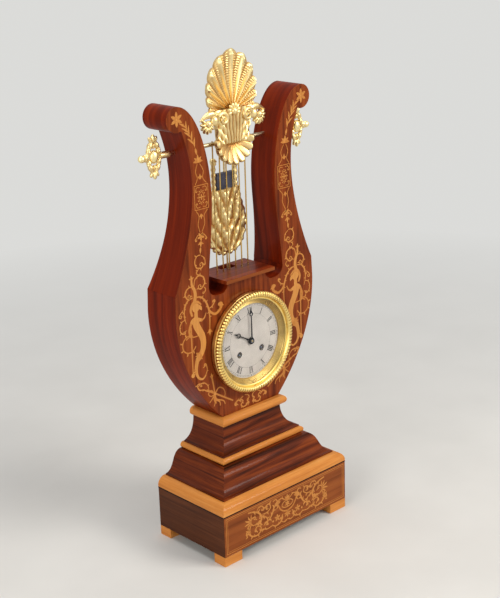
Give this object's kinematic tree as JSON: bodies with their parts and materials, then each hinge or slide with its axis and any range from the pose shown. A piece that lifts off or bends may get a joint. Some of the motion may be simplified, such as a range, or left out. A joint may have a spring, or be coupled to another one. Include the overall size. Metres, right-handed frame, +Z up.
{
  "type": "lyre clock",
  "caption": "Lyre-shaped veneered clock case on a stepped plinth, with a hinged bezel, a striking spring movement and a pendulum hung behind the strings.",
  "frame": {"origin": "centre of the box of the object, at the underside of the feet", "axes": "+Z up, the dial faces -Y, +X to the right of a viewer who faces the dial"},
  "size_m": [0.288, 0.1286, 0.638],
  "materials": {
    "rosewood": "dark streaked veneer under a clear polish",
    "mahogany": "red-brown wood under a clear polish",
    "satinwood": "light yellow-brown wood, polished",
    "gilt": "gilded cast brass",
    "brass": "polished brass",
    "steel": "polished steel",
    "blued": "dark blued steel",
    "silvered": "matt silvered plate",
    "glass": "clear flat glass"
  },
  "bodies": {
    "case": {"feet": "satinwood", "plinth_box": "rosewood", "plinth_floor": "mahogany", "base_moulding": "satinwood", "ogee_moulding": "rosewood", "middle_fillet": "satinwood", "cove_moulding": "rosewood", "cap_moulding": "satinwood", "case_bolts": "steel", "lyre_body": "mahogany", "left_arm": "mahogany", "right_arm": "mahogany", "arm_dowels": "satinwood", "front_veneer": "mahogany", "string_shelf": "mahogany", "strings": "brass", "cross_bar": "brass", "left_key": "gilt", "right_key": "gilt", "crest": "gilt", "bar_bracket": "brass", "dial_frame": "brass", "dial": "silvered", "sight_ring": "gilt", "hinge_pins": "brass", "back_frame": "brass", "movement_straps": "brass", "strap_screws": "steel", "front_plate": "brass", "back_plate": "brass", "pillars": "brass", "back_cock": "brass", "clicks": "steel", "bell": "brass", "bell_stand": "steel"},
    "bezel_door": {"bezel": "gilt", "glass": "glass"},
    "back_door": {"back_door": "brass"},
    "pendulum": {"pendulum": "gilt"},
    "pallets": {"pallets": "steel"},
    "centre": {"centre_wheel": "brass", "cannon_pinion": "steel", "minute_hand": "blued"},
    "hour": {"hour_wheel": "brass", "hour_hand": "blued"},
    "minute_wheel": {"minute_wheel": "brass"},
    "second_wheel": {"second_wheel": "brass"},
    "third_wheel": {"third_wheel": "brass"},
    "escape_wheel": {"escape_wheel": "brass"},
    "time_barrel": {"time_barrel": "brass", "time_spring": "blued"},
    "time_arbor": {"time_arbor": "steel"},
    "strike_barrel": {"strike_barrel": "brass", "strike_spring": "blued"},
    "strike_arbor": {"strike_arbor": "steel"},
    "count_wheel": {"count_wheel": "brass"},
    "pin_wheel": {"pin_wheel": "brass"},
    "warning_wheel": {"warning_wheel": "brass"},
    "fly": {"fly": "steel"},
    "hammer": {"hammer": "steel"}
  },
  "joints": [
    {"name": "bezel_hinge", "type": "hinge", "parent": "case", "child": "bezel_door", "pos_m": [0.0705, -0.0042, 0.2625], "axis": [0, 0, 1], "range_deg": [0, 110]},
    {"name": "back_door_hinge", "type": "hinge", "parent": "case", "child": "back_door", "pos_m": [0.05, 0.0606, 0.2625], "axis": [0, 0, -1], "range_deg": [0, 110]},
    {"name": "pendulum_swing", "type": "hinge", "parent": "case", "child": "pendulum", "pos_m": [0, 0.036, 0.518], "axis": [0, 1, 0], "range_deg": [-2.2, 2.2]},
    {"name": "pallets_rock", "type": "hinge", "parent": "case", "child": "pallets", "pos_m": [0, 0.02, 0.29851], "axis": [0, 1, 0], "range_deg": [-7.25, 7.25]},
    {"name": "minute_hand_turn", "type": "hinge", "parent": "case", "child": "centre", "pos_m": [0, 0.02, 0.2625], "axis": [0, 1, 0], "continuous": true},
    {"name": "hour_hand_turn", "type": "hinge", "parent": "case", "child": "hour", "pos_m": [0, 0, 0.2625], "axis": [0, 1, 0], "continuous": true},
    {"name": "minute_wheel_turn", "type": "hinge", "parent": "case", "child": "minute_wheel", "pos_m": [0.006, 0.005, 0.27289], "axis": [0, 1, 0], "continuous": true},
    {"name": "second_wheel_turn", "type": "hinge", "parent": "case", "child": "second_wheel", "pos_m": [0.01537, 0.02, 0.26681], "axis": [0, 1, 0], "continuous": true},
    {"name": "third_wheel_turn", "type": "hinge", "parent": "case", "child": "third_wheel", "pos_m": [-0.00654, 0.02, 0.27652], "axis": [0, 1, 0], "continuous": true},
    {"name": "escape_wheel_turn", "type": "hinge", "parent": "case", "child": "escape_wheel", "pos_m": [0, 0.02, 0.28781], "axis": [0, 1, 0], "continuous": true},
    {"name": "time_barrel_turn", "type": "hinge", "parent": "case", "child": "time_barrel", "pos_m": [0.01975, 0.02, 0.2475], "axis": [0, 1, 0], "continuous": true},
    {"name": "time_winding", "type": "hinge", "parent": "case", "child": "time_arbor", "pos_m": [0.01975, 0, 0.2475], "axis": [0, 1, 0], "range_deg": [0, 1800]},
    {"name": "pin_wheel_turn", "type": "hinge", "parent": "case", "child": "pin_wheel", "pos_m": [-0.02311, 0.02, 0.27886], "axis": [0, 1, 0], "continuous": true},
    {"name": "count_wheel_turn", "type": "hinge", "parent": "case", "child": "count_wheel", "pos_m": [-0.02652, 0.02, 0.26611], "axis": [0, 1, 0], "continuous": true},
    {"name": "strike_barrel_turn", "type": "hinge", "parent": "case", "child": "strike_barrel", "pos_m": [-0.01975, 0.02, 0.2475], "axis": [0, 1, 0], "continuous": true},
    {"name": "warning_wheel_turn", "type": "hinge", "parent": "case", "child": "warning_wheel", "pos_m": [-0.01808, 0.02, 0.28756], "axis": [0, 1, 0], "continuous": true},
    {"name": "fly_turn", "type": "hinge", "parent": "case", "child": "fly", "pos_m": [-0.0167, 0.02, 0.29537], "axis": [0, 1, 0], "continuous": true},
    {"name": "strike_winding", "type": "hinge", "parent": "case", "child": "strike_arbor", "pos_m": [-0.01975, 0, 0.2475], "axis": [0, 1, 0], "range_deg": [0, 1800]},
    {"name": "hammer_lift", "type": "hinge", "parent": "case", "child": "hammer", "pos_m": [-0.0335, 0.047, 0.2825], "axis": [0, 1, 0], "range_deg": [0, 10], "stiffness_Nm_per_rad": 0.005, "springref_deg": -3.44}
  ],
  "couplings": [
    {"joint": "pallets_rock", "follows": "pendulum_swing", "ratio": -3.2881},
    {"joint": "hour_hand_turn", "follows": "minute_hand_turn", "ratio": 0.083333},
    {"joint": "minute_wheel_turn", "follows": "minute_hand_turn", "ratio": -0.33333},
    {"joint": "second_wheel_turn", "follows": "minute_hand_turn", "ratio": -0.16667},
    {"joint": "time_barrel_turn", "follows": "minute_hand_turn", "ratio": 0.020833},
    {"joint": "third_wheel_turn", "follows": "minute_hand_turn", "ratio": -12},
    {"joint": "escape_wheel_turn", "follows": "minute_hand_turn", "ratio": 137.14},
    {"joint": "count_wheel_turn", "follows": "pin_wheel_turn", "ratio": -0.11111},
    {"joint": "strike_barrel_turn", "follows": "pin_wheel_turn", "ratio": 0.013889},
    {"joint": "warning_wheel_turn", "follows": "pin_wheel_turn", "ratio": -8.5714},
    {"joint": "fly_turn", "follows": "pin_wheel_turn", "ratio": 66.122}
  ]
}
